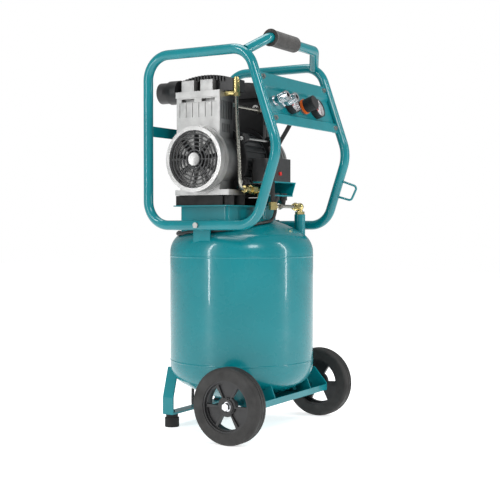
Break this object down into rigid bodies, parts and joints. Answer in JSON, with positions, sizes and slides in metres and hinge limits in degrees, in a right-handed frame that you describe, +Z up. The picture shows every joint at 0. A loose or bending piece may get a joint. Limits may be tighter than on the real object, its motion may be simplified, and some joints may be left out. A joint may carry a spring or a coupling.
{
  "type": "air compressor",
  "caption": "Upright wheeled air compressor: vertical tank, twin-cylinder pump with side fans, tube frame with gripped handle, sloped control panel with gauges, rear foot strap.",
  "frame": {"origin": "On the floor, in the middle of the machine's own box (without the loose lead)", "axes": "+Z up, -Y towards the control panel (front), X along the wheel axle"},
  "size_m": [0.556, 0.458, 1.023],
  "materials": {
    "teal_paint": "gloss",
    "cast_aluminium": "satin",
    "black_plastic": "matte",
    "dark_paint": "satin",
    "chrome_steel": "polished",
    "bright_steel": "satin",
    "brass": "satin",
    "rubber": "matte",
    "tyre_rubber": "matte",
    "dark_plastic": "matte",
    "orange_plastic": "gloss",
    "red_plastic": "gloss",
    "clear_lens": "clear",
    "foam": "matte"
  },
  "bodies": {
    "frame": {"tank_shell": "teal_paint", "tank_heads": "teal_paint", "pump_platform": "teal_paint", "left_frame_loop": "teal_paint", "right_frame_loop": "teal_paint", "frame_bolts": "chrome_steel", "rear_cross_bar": "teal_paint", "handle_tube": "teal_paint", "handle_grip": "foam", "control_panel": "teal_paint", "cable_hook": "teal_paint", "wheel_bracket": "teal_paint", "axle_bolts": "chrome_steel", "foot_strap": "teal_paint", "rubber_feet": "rubber", "drain_valve": "brass", "motor_casing": "dark_paint", "stator": "bright_steel", "tie_rods": "bright_steel", "shaft_bearings": "bright_steel", "crankcases": "cast_aluminium", "cylinder_liners": "bright_steel", "cylinder_heads": "cast_aluminium", "head_covers": "black_plastic", "air_filters": "black_plastic", "fan_shrouds": "cast_aluminium", "fan_grilles": "dark_paint", "pump_mounts": "rubber", "brass_fittings": "brass", "air_pipes": "bright_steel", "panel_hose": "rubber", "air_manifold": "cast_aluminium", "regulator_ring": "orange_plastic", "gauges": "black_plastic", "gauge_lenses": "clear_lens", "couplings": "chrome_steel", "safety_valve": "brass", "switch_box": "dark_plastic", "switch_bracket": "teal_paint", "cord_gland": "black_plastic", "mains_cord": "rubber", "cord_coil": "rubber", "mains_plug": "black_plastic"},
    "left_wheel": {"left_tyre": "tyre_rubber", "left_rim": "dark_plastic"},
    "right_wheel": {"right_tyre": "tyre_rubber", "right_rim": "dark_plastic"},
    "motor_rotor": {"rotor": "bright_steel", "cooling_fans": "black_plastic"},
    "left_rod": {"left_piston_rod": "cast_aluminium"},
    "right_rod": {"right_piston_rod": "cast_aluminium"},
    "regulator": {"regulator_knob": "black_plastic"},
    "left_pointer": {"left_needle": "red_plastic"},
    "right_pointer": {"right_needle": "red_plastic"},
    "left_sleeve": {"left_coupling_sleeve": "chrome_steel"},
    "right_sleeve": {"right_coupling_sleeve": "chrome_steel"},
    "start_knob": {"switch_knob": "red_plastic"},
    "reset": {"reset_button": "red_plastic"},
    "relief_pull": {"safety_ring": "chrome_steel"},
    "drain_tap": {"drain_knob": "brass"}
  },
  "joints": [
    {"name": "left_wheel_spin", "type": "hinge", "parent": "frame", "child": "left_wheel", "pos_m": [-0.24, -0.08027, 0.095], "axis": [1, 0, 0], "continuous": true},
    {"name": "right_wheel_spin", "type": "hinge", "parent": "frame", "child": "right_wheel", "pos_m": [0.24, -0.08027, 0.095], "axis": [1, 0, 0], "continuous": true},
    {"name": "motor_spin", "type": "hinge", "parent": "frame", "child": "motor_rotor", "pos_m": [0.003, 0.07073, 0.70241], "axis": [1, 0, 0], "continuous": true},
    {"name": "left_rod_swing", "type": "hinge", "parent": "motor_rotor", "child": "left_rod", "pos_m": [-0.107, 0.07073, 0.69841], "axis": [1, 0, 0], "continuous": true},
    {"name": "right_rod_swing", "type": "hinge", "parent": "motor_rotor", "child": "right_rod", "pos_m": [0.113, 0.07073, 0.70641], "axis": [1, 0, 0], "continuous": true},
    {"name": "regulator_turn", "type": "hinge", "parent": "frame", "child": "regulator", "pos_m": [0.012, -0.16779, 0.84492], "axis": [0, -0.9455, 0.3255], "range_deg": [-720, 720]},
    {"name": "left_needle_turn", "type": "hinge", "parent": "frame", "child": "left_pointer", "pos_m": [-0.057, -0.15512, 0.84056], "axis": [0, -0.9455, 0.3255], "range_deg": [-270, 0]},
    {"name": "right_needle_turn", "type": "hinge", "parent": "frame", "child": "right_pointer", "pos_m": [0.082, -0.15512, 0.84056], "axis": [0, -0.9455, 0.3255], "range_deg": [-270, 0]},
    {"name": "left_sleeve_slide", "type": "slide", "parent": "frame", "child": "left_sleeve", "axis": [0, -0.9455, 0.3255], "range_m": [-0.003, 0], "stiffness_N_per_m": 900, "springref_m": 0.002},
    {"name": "right_sleeve_slide", "type": "slide", "parent": "frame", "child": "right_sleeve", "axis": [0, -0.9455, 0.3255], "range_m": [-0.003, 0], "stiffness_N_per_m": 900, "springref_m": 0.002},
    {"name": "switch_pull", "type": "slide", "parent": "frame", "child": "start_knob", "axis": [0, 0, 1], "range_m": [0, 0.008]},
    {"name": "reset_press", "type": "slide", "parent": "frame", "child": "reset", "axis": [0, 1, 0], "range_m": [0, 0.002], "stiffness_N_per_m": 300, "springref_m": -0.001},
    {"name": "safety_pull", "type": "slide", "parent": "frame", "child": "relief_pull", "axis": [0, 0.9455, -0.3255], "range_m": [0, 0.004], "stiffness_N_per_m": 500, "springref_m": -0.002},
    {"name": "drain_turn", "type": "hinge", "parent": "frame", "child": "drain_tap", "pos_m": [0, 0.02873, 0.048], "axis": [0, 0, 1], "range_deg": [0, 720]}
  ],
  "couplings": [
    {"joint": "left_rod_swing", "follows": "motor_spin", "ratio": -1},
    {"joint": "right_rod_swing", "follows": "motor_spin", "ratio": -1}
  ]
}
